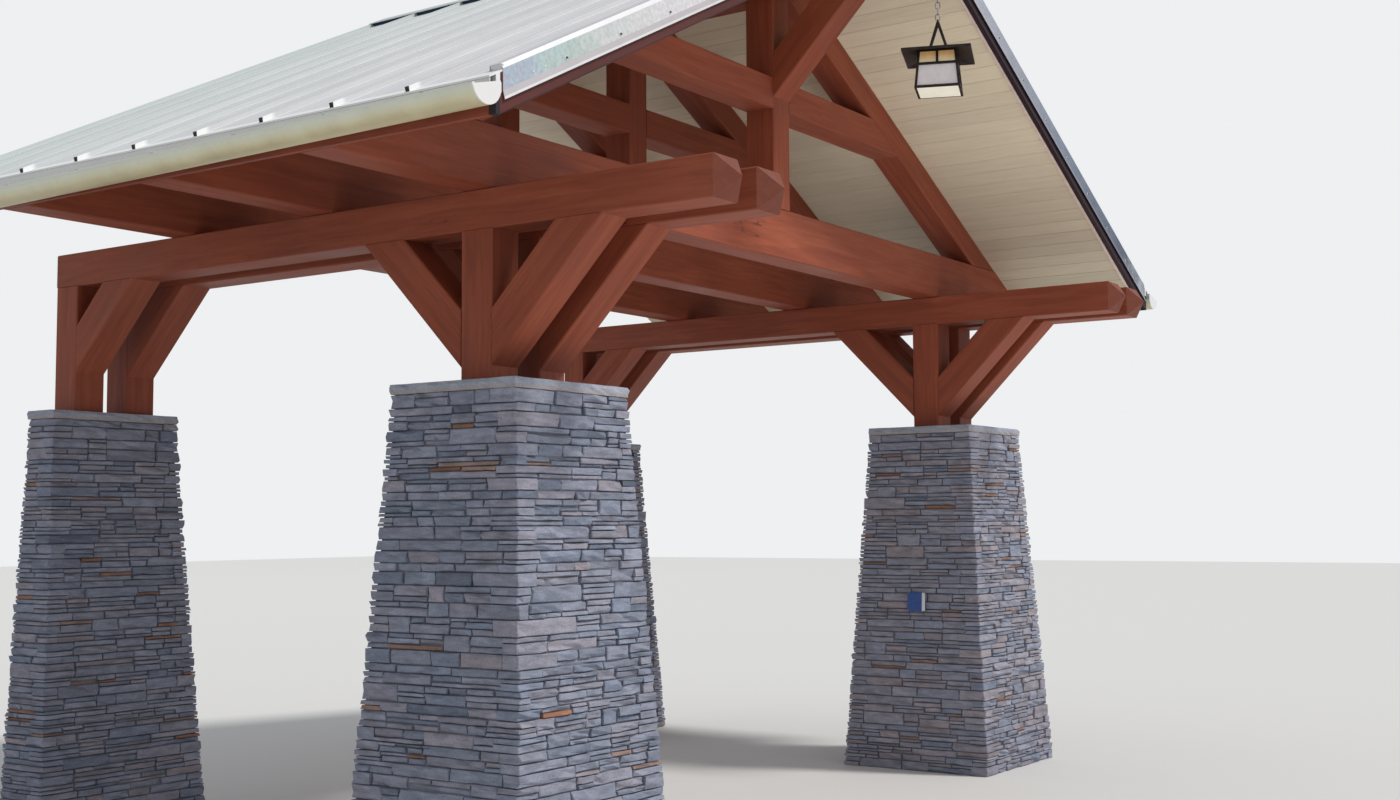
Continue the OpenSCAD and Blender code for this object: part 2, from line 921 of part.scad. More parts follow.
module left_gutter() {
    gutter(-1);
}

module right_ceiling() {
    ceiling(1);
}

module right_roof_deck() {
    roof_deck(1);
}

module right_roof_sheets() {
    roof_sheets(1);
}

module right_gutter() {
    gutter(1);
}

front_left_pier();
front_right_pier();
rear_left_pier();
rear_right_pier();
front_caps();
rear_caps();
front_left_posts();
front_right_posts();
rear_left_posts();
rear_right_posts();
front_left_braces();
front_right_braces();
rear_left_braces();
rear_right_braces();
left_outer_beam();
left_inner_beam();
right_inner_beam();
right_outer_beam();
front_chord();
middle_chord();
rear_chord();
front_rafters();
middle_rafters();
rear_rafters();
king_posts();
collars();
ridge_beam();
ridge_brace();
left_ceiling();
right_ceiling();
left_roof_deck();
right_roof_deck();
left_roof_sheets();
right_roof_sheets();
ridge_cap();
rake_boards();
rake_trims();
eave_boards();
left_gutter();
right_gutter();
lantern_chain();
lantern_roof();
lantern_frame();
lantern_glass();
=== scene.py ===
import math
import random

import bmesh
import bpy
from mathutils import Matrix, Vector


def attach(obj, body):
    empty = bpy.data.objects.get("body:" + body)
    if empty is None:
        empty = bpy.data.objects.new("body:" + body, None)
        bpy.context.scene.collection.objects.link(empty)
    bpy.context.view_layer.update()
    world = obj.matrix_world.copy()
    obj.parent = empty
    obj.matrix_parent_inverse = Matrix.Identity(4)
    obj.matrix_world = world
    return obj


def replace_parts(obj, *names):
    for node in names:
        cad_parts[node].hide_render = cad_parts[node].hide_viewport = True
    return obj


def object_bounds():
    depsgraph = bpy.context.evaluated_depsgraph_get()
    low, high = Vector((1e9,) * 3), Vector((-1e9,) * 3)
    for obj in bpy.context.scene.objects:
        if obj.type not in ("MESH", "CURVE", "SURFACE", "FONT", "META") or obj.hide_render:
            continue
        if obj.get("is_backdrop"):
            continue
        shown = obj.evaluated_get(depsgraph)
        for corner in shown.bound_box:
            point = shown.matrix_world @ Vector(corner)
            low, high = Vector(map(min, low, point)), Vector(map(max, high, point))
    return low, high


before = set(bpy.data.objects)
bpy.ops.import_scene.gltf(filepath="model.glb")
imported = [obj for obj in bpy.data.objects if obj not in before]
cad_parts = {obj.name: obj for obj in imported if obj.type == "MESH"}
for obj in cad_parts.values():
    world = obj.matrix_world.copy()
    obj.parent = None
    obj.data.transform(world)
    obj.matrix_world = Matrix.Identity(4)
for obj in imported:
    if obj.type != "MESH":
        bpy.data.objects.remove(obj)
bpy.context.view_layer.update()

# -------------------------------------------------------------------------------------------------
# View, floor and light. The eye is 1.75 m up, in front of the canopy and to its left, and looks a
# little upwards. Over a plain pale floor stand a broad soft sun to the front and right, a wide dim
# lamp for the light that a bright floor throws up, and an even pale sky.
eye_at = Vector((-8.6342, -6.3169, 1.7486))
eye_turn, eye_tilt, eye_roll = (math.radians(a) for a in (34.3293, 4.2673, -0.3486))
ahead = Vector((math.cos(eye_turn) * math.cos(eye_tilt), math.sin(eye_turn) * math.cos(eye_tilt),
                math.sin(eye_tilt)))
level = Vector((math.sin(eye_turn), -math.cos(eye_turn), 0.0))
upright = level.cross(ahead)
right_hand = level * math.cos(eye_roll) + upright * math.sin(eye_roll)
upward = upright * math.cos(eye_roll) - level * math.sin(eye_roll)
eye_axes = Matrix((right_hand, upward, -ahead)).transposed().to_4x4()
lens = bpy.data.cameras.new("eye")
lens.sensor_fit = "HORIZONTAL"
lens.sensor_width = 36.0
lens.lens = 42.231
lens.clip_end = 200.0
eye = bpy.data.objects.new("eye", lens)
eye.matrix_world = Matrix.Translation(eye_at) @ eye_axes
bpy.context.scene.collection.objects.link(eye)
bpy.context.scene.camera = eye
bpy.context.scene.view_settings.view_transform = "Standard"


def add_node(tree, kind, sockets=None, **settings):
    """A node of that kind, its settings set and its sockets given values or linked."""
    made = tree.nodes.new(kind)
    for name, value in settings.items():
        setattr(made, name, value)
    for name, value in (sockets or {}).items():
        if isinstance(value, bpy.types.NodeSocket):
            tree.links.new(value, made.inputs[name])
        else:
            made.inputs[name].default_value = value
    return made


def calc(tree, operation, *values):
    """What a Math node makes of its values."""
    return add_node(tree, "ShaderNodeMath", dict(enumerate(values)),
                    operation=operation).outputs[0]


def graded(tree, value, *stops):
    """A colour that follows a value; each stop is a place between 0 and 1 with its colour."""
    made = add_node(tree, "ShaderNodeValToRGB", {"Fac": value})
    elements = made.color_ramp.elements
    for element, (place, colour) in zip(elements, (stops[0], stops[-1])):
        element.position, element.color = place, colour + (1.0,)
    for place, colour in stops[1:-1]:
        elements.new(place).color = colour + (1.0,)
    return made.outputs["Color"]


def mixed(tree, factor, first, second, blend="MIX"):
    """Two colours mixed by a factor; each is a socket or three numbers."""
    first, second = (c + (1.0,) if isinstance(c, tuple) else c for c in (first, second))
    return add_node(tree, "ShaderNodeMixRGB", {"Fac": factor, "Color1": first, "Color2": second},
                    blend_type=blend).outputs[0]


def coordinates(tree):
    """Object coordinates."""
    return add_node(tree, "ShaderNodeTexCoord").outputs["Object"]


def new_finish(name, **plain):
    """A material with a plain Principled shader; returns it, its tree and object coordinates."""
    finish = bpy.data.materials.new(name)
    finish.use_nodes = True
    tree = finish.node_tree
    for socket, value in plain.items():
        tree.nodes["Principled BSDF"].inputs[socket.replace("_", " ")].default_value = value
    return finish, tree, coordinates(tree)


def coat(tree, colour, roughness=None, height=None, strength=0.0, distance=0.0):
    """Joins a colour, and where given a roughness and a bump, to the shader of a finish."""
    shader = tree.nodes["Principled BSDF"]
    tree.links.new(colour, shader.inputs["Base Color"])
    if roughness is not None:
        tree.links.new(roughness, shader.inputs["Roughness"])
    if height is not None:
        bump = add_node(tree, "ShaderNodeBump",
                        {"Height": height, "Strength": strength, "Distance": distance})
        tree.links.new(bump.outputs[0], shader.inputs["Normal"])


def place_piece(name, shape, *finishes):
    """Makes an object of a bmesh, with its finishes in order."""
    mesh = bpy.data.meshes.new(name)
    shape.to_mesh(mesh)
    shape.free()
    for finish in finishes:
        mesh.materials.append(finish)
    piece = bpy.data.objects.new(name, mesh)
    bpy.context.scene.collection.objects.link(piece)
    return piece


floor_finish, tree, _ = new_finish("pale_floor", Roughness=0.9, Specular_IOR_Level=0.1)
speckle = add_node(tree, "ShaderNodeTexNoise", {"Scale": 1.5, "Detail": 3.0}).outputs["Fac"]
coat(tree, graded(tree, speckle, (0.0, (0.60, 0.60, 0.60)), (1.0, (0.66, 0.66, 0.655))))
ground = bmesh.new()
bmesh.ops.create_grid(ground, x_segments=2, y_segments=2, size=60.0)
floor = place_piece("floor", ground, floor_finish)
floor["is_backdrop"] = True

world = bpy.data.worlds.new("sky")
world.use_nodes = True
bpy.context.scene.world = world
tree = world.node_tree
path = add_node(tree, "ShaderNodeLightPath").outputs
seen = calc(tree, "MAXIMUM", path["Is Camera Ray"], path["Is Transmission Ray"])
tree.links.new(mixed(tree, seen, (0.55, 0.565, 0.59), (0.86, 0.87, 0.88)),
               tree.nodes["Background"].inputs["Color"])

sun_lamp = bpy.data.lights.new("sun", "SUN")
sun_lamp.energy = 2.4
sun_lamp.angle = math.radians(9.0)
sun_lamp.color = (1.0, 0.97, 0.92)
sun = bpy.data.objects.new("sun", sun_lamp)
sun.rotation_mode = "QUATERNION"
sun.rotation_quaternion = Vector((-0.24, 0.58, -0.78)).to_track_quat("-Z", "Y")
bpy.context.scene.collection.objects.link(sun)

bounce_lamp = bpy.data.lights.new("ground_bounce", "AREA")
bounce_lamp.shape = "RECTANGLE"
bounce_lamp.size, bounce_lamp.size_y = 9.0, 3.5
bounce_lamp.energy = 95.0
bounce_lamp.color = (1.0, 0.97, 0.93)
bounce = bpy.data.objects.new("ground_bounce", bounce_lamp)
bounce.location = (0.0, -4.6, 0.05)
bounce.rotation_mode = "QUATERNION"
bounce.rotation_quaternion = Vector((0.0, 0.0, 1.0)).to_track_quat("-Z", "Y")
bounce.visible_camera = False
bounce.visible_glossy = False
bpy.context.scene.collection.objects.link(bounce)

# -------------------------------------------------------------------------------------------------
# Stone piers: a masonry core faced with split ledge stones in raked mortar, laid in courses of 40
# to 90 mm that hold one thick stone or two or three thin ones. Stones that run through tie the
# corners, and the grey blocks of the core are bare at the back.
pier_x, front_pier_y, rear_pier_y, wall_y = 2.44, -0.95, 2.5775, 2.43
shaft_height, foot_half, head_half = 2.38, (0.575, 0.565), (0.4325, 0.4025)
core_setback, bed_joint, head_joint = 0.021, 0.0024, 0.0016
course_rises = (0.040, 0.046, 0.052, 0.058, 0.064, 0.070, 0.078, 0.086)
stone_lengths, stone_reach = (0.09, 0.44, 0.20), (-0.013, 0.008, 0.001)
shortest_stone, facing_depth, corner_depths = 0.09, 0.07, (0.075, 0.17)
face_relief, rim_setback, end_relief, end_wear = (-0.0085, 0.0075), 0.0045, (-0.005, 0.004), 0.007
bed_wear, broken_edge = 0.0030, 0.0045
block_length, block_rise, block_joint = 0.400, 0.200, 0.005


def noise(tree, vector, scale, detail, **more):
    """Fractal noise; more holds its Roughness and Distortion."""
    return add_node(tree, "ShaderNodeTexNoise",
                    {"Vector": vector, "Scale": scale, "Detail": detail, **more}).outputs["Fac"]


def stretch(tree, vector, *scale):
    """A vector scaled along each axis."""
    return add_node(tree, "ShaderNodeMapping", {"Vector": vector, "Scale": scale}).outputs[0]


def axes(tree, vector):
    """The three parts of a vector."""
    return add_node(tree, "ShaderNodeSeparateXYZ", {0: vector}).outputs[:]


def joined(tree, *values):
    """A vector made of its parts."""
    return add_node(tree, "ShaderNodeCombineXYZ", dict(enumerate(values))).outputs[0]


def span(tree, value, low, high, to_low=0.0, to_high=1.0):
    """A value carried from one span to another and held inside it."""
    return add_node(tree, "ShaderNodeMapRange",
                    {"Value": value, "From Min": low, "From Max": high,
                     "To Min": to_low, "To Max": to_high}).outputs[0]


def scaled(tree, colour, factor):
    """A colour times a factor."""
    return add_node(tree, "ShaderNodeVectorMath", {0: colour, "Scale": factor},
                    operation="SCALE").outputs[0]


stone_finish, tree, spot = new_finish("split_stone", Roughness=0.85, Specular_IOR_Level=0.25)
tone = add_node(tree, "ShaderNodeAttribute", attribute_name="tone").outputs["Fac"]
cast = add_node(tree, "ShaderNodeAttribute", attribute_name="cast").outputs["Fac"]
beds = stretch(tree, spot, 1.0, 1.0, 3.5)
cloud = noise(tree, beds, 9.0, 6.0, Roughness=0.62)
grit = noise(tree, spot, 160.0, 4.0, Roughness=0.7)
vein = noise(tree, beds, 26.0, 5.0, Distortion=1.2)
tint = graded(tree, tone, (0.0, (0.125, 0.143, 0.190)), (0.22, (0.200, 0.232, 0.310)),
              (0.48, (0.254, 0.272, 0.345)), (0.70, (0.285, 0.276, 0.330)),
              (0.84, (0.300, 0.262, 0.285)), (0.93, (0.300, 0.205, 0.170)),
              (1.0, (0.290, 0.135, 0.080)))
lighter = calc(tree, "MULTIPLY", span(tree, cloud, 0.3, 0.7, 0.70, 1.26), cast)
rusty = mixed(tree, span(tree, vein, 0.60, 0.74, 0.0, 0.50), scaled(tree, tint, lighter),
              (0.28, 0.19, 0.16))
coat(tree, scaled(tree, rusty, span(tree, grit, 0.35, 0.65, 0.82, 1.14)),
     height=calc(tree, "ADD", vein, grit), strength=0.8, distance=0.004)

mortar_finish, tree, spot = new_finish("raked_mortar", Roughness=0.95)
x, y, z = axes(tree, spot)
sand = noise(tree, spot, 90.0, 5.0)
grey = graded(tree, sand, (0.0, (0.120, 0.126, 0.152)), (1.0, (0.195, 0.202, 0.235)))
blocks = add_node(tree, "ShaderNodeTexBrick",
                  {"Vector": joined(tree, x, z), "Scale": 1.0, "Mortar Size": block_joint,
                   "Brick Width": block_length, "Row Height": block_rise,
                   "Color1": (0.300, 0.300, 0.298, 1.0), "Color2": (0.355, 0.352, 0.345, 1.0),
                   "Mortar": (0.210, 0.208, 0.205, 1.0)}).outputs["Color"]
block_face = scaled(tree, blocks, span(tree, sand, 0.3, 0.7, 0.85, 1.12))
at_wall = calc(tree, "GREATER_THAN", y, wall_y - 0.003)
coat(tree, mixed(tree, at_wall, grey, block_face), height=sand, strength=0.6, distance=0.003)


def cut_plane(shape, at, facing, clear=False):
    """Cuts a bmesh by a plane, and with clear drops what lies past it; returns the cut's edges."""
    cut = bmesh.ops.bisect_plane(shape, geom=shape.verts[:] + shape.edges[:] + shape.faces[:],
                                 plane_co=at, plane_no=facing, clear_outer=clear)
    return [e for e in cut["geom_cut"] if isinstance(e, bmesh.types.BMEdge)]


def ease(shape, edges, offset, segments=1, **more):
    """Bevels edges of a bmesh."""
    bmesh.ops.bevel(shape, geom=edges, offset=offset, offset_type="OFFSET", segments=segments,
                    profile=0.5, affect="EDGES", material=-1, **more)


def pour(part, whole):
    """Adds a small bmesh to a large one and frees it; returns the new corners and faces."""
    mesh = bpy.data.meshes.new("part")
    part.to_mesh(mesh)
    part.free()
    old_verts, old_faces = len(whole.verts), len(whole.faces)
    whole.from_mesh(mesh)
    bpy.data.meshes.remove(mesh)
    whole.verts.ensure_lookup_table()
    whole.faces.ensure_lookup_table()
    return whole.verts[old_verts:], whole.faces[old_faces:]


def split_stone(chance, length, depth, height, end_face):
    """One stone along X, split face on -Y; end_face is -1 or 1 where that end shows too."""
    stone = bmesh.new()
    bmesh.ops.create_cube(stone, size=1.0)
    bmesh.ops.scale(stone, vec=(length, depth, height), verts=stone.verts)
    cuts = min(3, int(length / 0.10))
    for k in range(cuts):
        at = length * ((k + 1 + chance.uniform(-0.35, 0.35)) / (cuts + 1) - 0.5)
        cut_plane(stone, (at, 0, 0), (1, 0, chance.uniform(-0.7, 0.7)))
    if height > 0.038:
        cut_plane(stone, (0, 0, height * chance.uniform(-0.2, 0.2)),
                  (chance.uniform(-0.08, 0.08), 0, 1))
    half_l, half_h = length / 2, height / 2
    for v in stone.verts:
        x, y, z = v.co
        if y < 0:
            inside = min(half_l - abs(x), 2 * (half_h - abs(z)))
            v.co.y += chance.uniform(*face_relief) + (0.0 if inside > 0.004 else rim_setback)
        if abs(abs(x) - half_l) < 0.001:
            shows = end_face and (x > 0) == (end_face > 0)
            v.co.x += (chance.uniform(*end_relief) if shows
                       else -math.copysign(chance.uniform(0.0, end_wear), x))
        if abs(abs(z) - half_h) < 0.001:
            v.co.z -= math.copysign(chance.uniform(0.0, bed_wear), z)
    rim = [e for e in stone.edges if all(v.co.y < 0 for v in e.verts) and len(e.link_faces) == 2
           and e.calc_face_angle(0.0) > 0.9]
    ease(stone, rim, min(broken_edge, height * 0.14), clamp_overlap=True)
    return stone


def layers(chance, rise):
    """Heights of the stones that fill a course, from below; a low course is one stone."""
    if rise < 0.046 or (rise < 0.072 and chance.random() < 0.42) or chance.random() < 0.10:
        return [rise]
    if rise > 0.070 and chance.random() < 0.45:
        shares = [chance.uniform(0.7, 1.5) for _ in range(3)]
    else:
        shares = [1.0, chance.choice((0.5, 0.65, 1.0, 1.6, 2.0))]
    return [rise * share / sum(shares) for share in shares]


def lay_pier(name, centre_x, centre_y, back_y, warmth, seed):
    """One pier, its stones laid round the core course by course from the foot."""
    chance = random.Random(seed)
    wall = bmesh.new()
    tone_of = wall.verts.layers.float.new("tone")
    cast_of = wall.verts.layers.float.new("cast")
    to_wall = back_y is not None
    faces = [(Vector((0, -1, 0)), Vector((1, 0, 0))), (Vector((1, 0, 0)), Vector((0, 1, 0))),
             (Vector((0, 1, 0)), Vector((-1, 0, 0))), (Vector((-1, 0, 0)), Vector((0, -1, 0)))]

    def set_stone(face, u0, u1, z0, z1, depth, reach, end_face=0):
        normal, along = faces[face]
        stone = split_stone(chance, u1 - u0, depth, z1 - z0 - bed_joint, end_face)
        out = reach + chance.triangular(*stone_reach) * (0.6 if end_face else 1.0) - depth / 2
        turn = Matrix((along, -normal, Vector((0, 0, 1)))).transposed().to_4x4()
        bmesh.ops.rotate(stone, verts=stone.verts, cent=(0, 0, 0),
                         matrix=Matrix.Rotation(chance.uniform(-0.010, 0.010), 3, "Z"))
        middle = (Vector((centre_x, centre_y, (z0 + z1) / 2)) + normal * out
                  + along * ((u0 + u1) / 2))
        bmesh.ops.transform(stone, verts=stone.verts, matrix=Matrix.Translation(middle) @ turn)
        if to_wall:
            for v in stone.verts:
                v.co.y = min(v.co.y, back_y - 0.002)
        corners, _ = pour(stone, wall)
        this_tone = min(0.80, max(0.02, chance.gauss(0.44, 0.14) + warmth))
        if z1 - z0 < 0.026 and chance.random() < 0.10:
            this_tone = chance.uniform(0.90, 1.0)
        this_cast = chance.uniform(0.84, 1.06)
        for v in corners:
            v[tone_of] = this_tone
            v[cast_of] = this_cast

    z = 0.0
    course = 0
    while z < shaft_height - 0.001:
        rise = chance.choice(course_rises)
        if shaft_height - z - rise < course_rises[0]:
            rise = shaft_height - z
        share = (z + rise / 2) / shaft_height
        half_x, half_y = (foot + (head - foot) * share for foot, head in zip(foot_half, head_half))
        owners = [(course + c + (chance.random() < 0.2)) % 2 for c in range(4)]
        depths = [chance.uniform(*corner_depths) for _ in range(4)]
        for f in range(4):
            if to_wall and f == 2:
                continue
            reach, run = (half_x, half_y) if f % 2 else (half_y, half_x)
            runs_start, runs_end = owners[f] == 0, owners[(f + 1) % 4] == 1
            u0 = -run if runs_start else -run + depths[f]
            u1 = run if runs_end else run - depths[(f + 1) % 4]
            if to_wall and f == 1:
                runs_end, u1 = False, back_y - centre_y
            if to_wall and f == 3:
                runs_start, u0 = False, centre_y - back_y
            at = u0
            while at < u1 - 0.001:
                size = chance.triangular(*stone_lengths)
                if u1 - at - size < shortest_stone:
                    size = u1 - at
                first_one, last_one = at <= u0 + 0.001, at + size >= u1 - 0.001
                depth, end_face = facing_depth, 0
                if first_one and runs_start:
                    depth, end_face = depths[f], -1
                elif last_one and runs_end:
                    depth, end_face = depths[(f + 1) % 4], 1
                low = z
                for height in layers(chance, rise):
                    ends = [at, at + size]
                    if height < 0.9 * rise and size > 0.24 and chance.random() < 0.5:
                        ends.insert(1, at + size * chance.uniform(0.35, 0.65))
                    for k, (p0, p1) in enumerate(zip(ends, ends[1:])):
                        at_corner = ((k == 0 and end_face < 0)
                                     or (p1 == ends[-1] and end_face > 0))
                        set_stone(f, p0 + head_joint / 2, p1 - head_joint / 2, low, low + height,
                                  depth, reach, end_face if at_corner else 0)
                    low += height
                at += size
        z += rise
        course += 1
    core = bmesh.new()
    bmesh.ops.create_cube(core, size=1.0)
    for v in core.verts:
        half_x, half_y = foot_half if v.co.z < 0 else head_half
        v.co = Vector((centre_x + math.copysign(half_x - core_setback, v.co.x),
                       centre_y + math.copysign(half_y - core_setback, v.co.y),
                       0.0 if v.co.z < 0 else shaft_height))
    if to_wall:
        bmesh.ops.contextual_create(core, geom=cut_plane(core, (0, back_y, 0), (0, 1, 0), True))
    for face in pour(core, wall)[1]:
        face.material_index = 1
    pier = place_piece(name, wall, stone_finish, mortar_finish)
    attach(pier, "root")
    return pier


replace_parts(lay_pier("front_left_pier_stones", -pier_x, front_pier_y, None, 0.0, 11),
            "front_left_pier")
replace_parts(lay_pier("front_right_pier_stones", pier_x, front_pier_y, None, 0.16, 23),
            "front_right_pier")
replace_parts(lay_pier("rear_left_pier_stones", -pier_x, rear_pier_y, wall_y, 0.05, 37),
            "rear_left_pier")
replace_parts(lay_pier("rear_right_pier_stones", pier_x, rear_pier_y, wall_y, 0.10, 41),
            "rear_right_pier")

# -------------------------------------------------------------------------------------------------
# Pier caps: sawn slabs of grey stone, 50 mm thick, with hand-pitched edges that break away
# unevenly and a flat top. They lie in mortar on the shafts and stand a little out past the stones.
cap_half, cap_foot, cap_top = (0.4425, 0.4075), 2.38, 2.43
pitched_back, top_wear = 0.007, 0.0012

cap_finish, tree, spot = new_finish("cap_stone", Roughness=0.8, Specular_IOR_Level=0.3)
cloud = noise(tree, spot, 7.0, 7.0, Roughness=0.65)
grit = noise(tree, spot, 140.0, 3.0)
tint = graded(tree, cloud, (0.30, (0.235, 0.262, 0.325)), (0.72, (0.375, 0.400, 0.465)))
edge = span(tree, axes(tree, spot)[2], cap_foot + 0.012, cap_foot + 0.022, 0.55, 0.0)
streaked = mixed(tree, edge, tint, (0.34, 0.275, 0.235))
coat(tree, scaled(tree, streaked, span(tree, grit, 0.35, 0.65, 0.86, 1.12)),
     height=calc(tree, "ADD", cloud, grit), strength=0.5, distance=0.002)


def pitch_caps(name, centre_y, back_y, seed):
    """The front or the rear pair of caps, their free edges broken off by hand."""
    chance = random.Random(seed)
    slabs = bmesh.new()
    thickness = cap_top - cap_foot
    for side in (-1, 1):
        slab = bmesh.new()
        bmesh.ops.create_cube(slab, size=1.0)
        bmesh.ops.scale(slab, vec=(2 * cap_half[0], 2 * cap_half[1], thickness), verts=slab.verts)
        for lies_flat, cuts in ((True, 17), (False, 2)):
            edges = [e for e in slab.edges
                     if (abs(e.verts[0].co.z - e.verts[1].co.z) < 0.01) == lies_flat]
            bmesh.ops.subdivide_edges(slab, edges=edges, cuts=cuts, use_grid_fill=lies_flat)
        for v in slab.verts:
            for axis in (0, 1):
                if abs(v.co[axis]) > cap_half[axis] - 0.001:
                    mid = 1.0 - abs(v.co.z) / (thickness / 2)
                    out = cap_half[axis] - pitched_back + pitched_back * mid
                    v.co[axis] = math.copysign(out + chance.uniform(-0.006, 0.004), v.co[axis])
            v.co.x += side * pier_x
            v.co.y += centre_y
            v.co.z += ((cap_foot + cap_top) / 2
                       + (chance.uniform(-top_wear, 0.0) if v.co.z > 0 else 0.0))
        if back_y is not None:
            bmesh.ops.contextual_create(
                slab, geom=cut_plane(slab, (0, back_y - 0.001, 0), (0, 1, 0), True))
        pour(slab, slabs)
    caps = place_piece(name, slabs, cap_finish)
    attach(caps, "root")
    return caps


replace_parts(pitch_caps("front_cap_slabs", front_pier_y, None, 5), "front_caps")
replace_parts(pitch_caps("rear_cap_slabs", rear_pier_y, wall_y, 6), "rear_caps")

# -------------------------------------------------------------------------------------------------
# Sign plate: a bare enamelled sheet, 140 by 132 mm, dark blue with a pale strip down one side. Four
# small screws hold it on a wooden block let into the stones of the front right pier.
sign_y, sign_z, sign_out = -0.962, 1.178, 0.018
plate_half, plate_thickness, plate_edge = (0.070, 0.066), 0.004, 0.0015
block_half, block_depth, block_edge = (0.064, 0.060), 0.045, 0.003
strip_low, strip_high, strip_edge = (-0.0055, -0.069, -0.065), (-0.003, -0.044, 0.065), 0.0008
sign_screws = [(-0.0065, y, z) for y in (-0.060, 0.062) for z in (-0.060, 0.060)]
batter = (foot_half[0] - head_half[0]) / shaft_height


def flecked(name, scale, detail, dark, pale, low=0.0, high=1.0, **plain):
    """A finish of two colours that fine noise mixes."""
    finish, tree, spot = new_finish(name, **plain)
    coat(tree, graded(tree, noise(tree, spot, scale, detail), (low, dark), (high, pale)))
    return finish


def box(low, high):
    """A new bmesh that holds one box between two corners."""
    made = bmesh.new()
    bmesh.ops.create_cube(made, size=1.0)
    bmesh.ops.scale(made, vec=high - low, verts=made.verts)
    bmesh.ops.translate(made, vec=(low + high) / 2, verts=made.verts)
    return made


def rounded_block(shape, low, high, edge, finish=0, matrix=Matrix.Identity(4)):
    """Adds a box with small rounded edges to shape, carried to its place by matrix."""
    block = box(Vector(low), Vector(high))
    ease(block, block.edges[:], edge, segments=2)
    bmesh.ops.transform(block, matrix=matrix, verts=block.verts)
    for face in pour(block, shape)[1]:
        face.material_index = finish


def turned_head(shape, radii, thickness, sides, finish, matrix):
    """Adds a disc or a screw's head to shape, its axis along the Z of matrix."""
    made = bmesh.ops.create_cone(shape, cap_ends=True, segments=sides, radius1=radii[0],
                                 radius2=radii[1], depth=thickness)
    bmesh.ops.transform(shape, verts=made["verts"], matrix=matrix)
    for face in {f for v in made["verts"] for f in v.link_faces}:
        face.material_index = finish


sign_finish = flecked("blue_enamel", 45.0, 4.0, (0.010, 0.040, 0.190), (0.030, 0.090, 0.330),
                      Roughness=0.25)
strip_finish = flecked("pale_strip", 60.0, 4.0, (0.50, 0.53, 0.56), (0.72, 0.74, 0.76),
                       Roughness=0.35)
block_finish = flecked("sign_block", 70.0, 4.0, (0.06, 0.055, 0.05), (0.14, 0.13, 0.12),
                       Roughness=0.8)
steel_finish = flecked("zinc_screws", 300.0, 3.0, (0.30, 0.31, 0.32), (0.55, 0.56, 0.57),
                       Roughness=0.4, Metallic=0.85)
lean = (Matrix.Translation((pier_x - foot_half[0] + batter * sign_z - sign_out, sign_y, sign_z))
        @ Matrix.Rotation(math.atan(batter), 4, "Y"))
plate = bmesh.new()
rounded_block(plate, (0.0, -block_half[0], -block_half[1]), (block_depth, *block_half),
              block_edge, 2, lean)
rounded_block(plate, (-plate_thickness, -plate_half[0], -plate_half[1]), (0.0, *plate_half),
              plate_edge, 0, lean)
rounded_block(plate, strip_low, strip_high, strip_edge, 1, lean)
for place in sign_screws:
    turned_head(plate, (0.004, 0.003), 0.003, 12, 3, lean @ Matrix.Translation(place)
                @ Matrix.Rotation(math.radians(-90), 4, "Y"))
sign = place_piece("house_sign_plate", plate, sign_finish, strip_finish, block_finish, steel_finish)
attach(sign, "root")

# -------------------------------------------------------------------------------------------------
# Timber frame: squared softwood, planed, its edges eased, and stained red-brown. Posts, braces,
# beams and trusses are cut to fit flush, with hidden tenons. The grain runs along each piece, the
# cut ends drink more stain, and fine drying checks open along the faces.
roof_slope = 6.2 / 12
pitch = math.atan(roof_slope)

grain_group = bpy.data.node_groups.new("stained_grain", "ShaderNodeTree")
for way, name, kind in (("INPUT", "Along", "Vector"), ("INPUT", "Cut End", "Float"),
                        ("OUTPUT", "Color", "Color"), ("OUTPUT", "Roughness", "Float"),
                        ("OUTPUT", "Height", "Float")):
    grain_group.interface.new_socket(name, in_out=way, socket_type="NodeSocket" + kind)
tree = grain_group
given = add_node(tree, "NodeGroupInput").outputs
along = given["Along"]
bands = noise(tree, stretch(tree, along, 1.0, 14.0, 14.0), 1.6, 5.0, Roughness=0.6, Distortion=0.6)
fibre = noise(tree, stretch(tree, along, 4.0, 220.0, 220.0), 1.0, 4.0, Roughness=0.6)
crack = noise(tree, stretch(tree, along, 0.9, 17.0, 17.0), 1.0, 2.0, Roughness=0.45,
              Distortion=0.15)
patch = noise(tree, along, 1.7, 4.0, Roughness=0.55)
stain = graded(tree, bands, (0.28, (0.203, 0.043, 0.020)), (0.52, (0.258, 0.060, 0.028)),
               (0.76, (0.316, 0.082, 0.039)))
toned = scaled(tree, stain, calc(tree, "MULTIPLY", span(tree, fibre, 0.3, 0.7, 0.92, 1.07),
                                 span(tree, patch, 0.3, 0.7, 0.90, 1.10)))
off_crack = calc(tree, "ABSOLUTE", calc(tree, "SUBTRACT", crack, 0.5))
checks = calc(tree, "MULTIPLY", span(tree, off_crack, 0.0, 0.006, 1.0, 0.0),
              span(tree, patch, 0.58, 0.66))
opened = mixed(tree, checks, toned, (0.085, 0.024, 0.013))
ended = mixed(tree, calc(tree, "MULTIPLY", given["Cut End"], 0.62), opened, (0.120, 0.030, 0.017))
raised = calc(tree, "ADD", calc(tree, "MULTIPLY", checks, -1.6),
              calc(tree, "MULTIPLY", fibre, 0.45))
add_node(tree, "NodeGroupOutput", {"Color": ended,
                                   "Roughness": span(tree, patch, 0.3, 0.7, 0.52, 0.70),
                                   "Height": calc(tree, "ADD", bands, raised)})


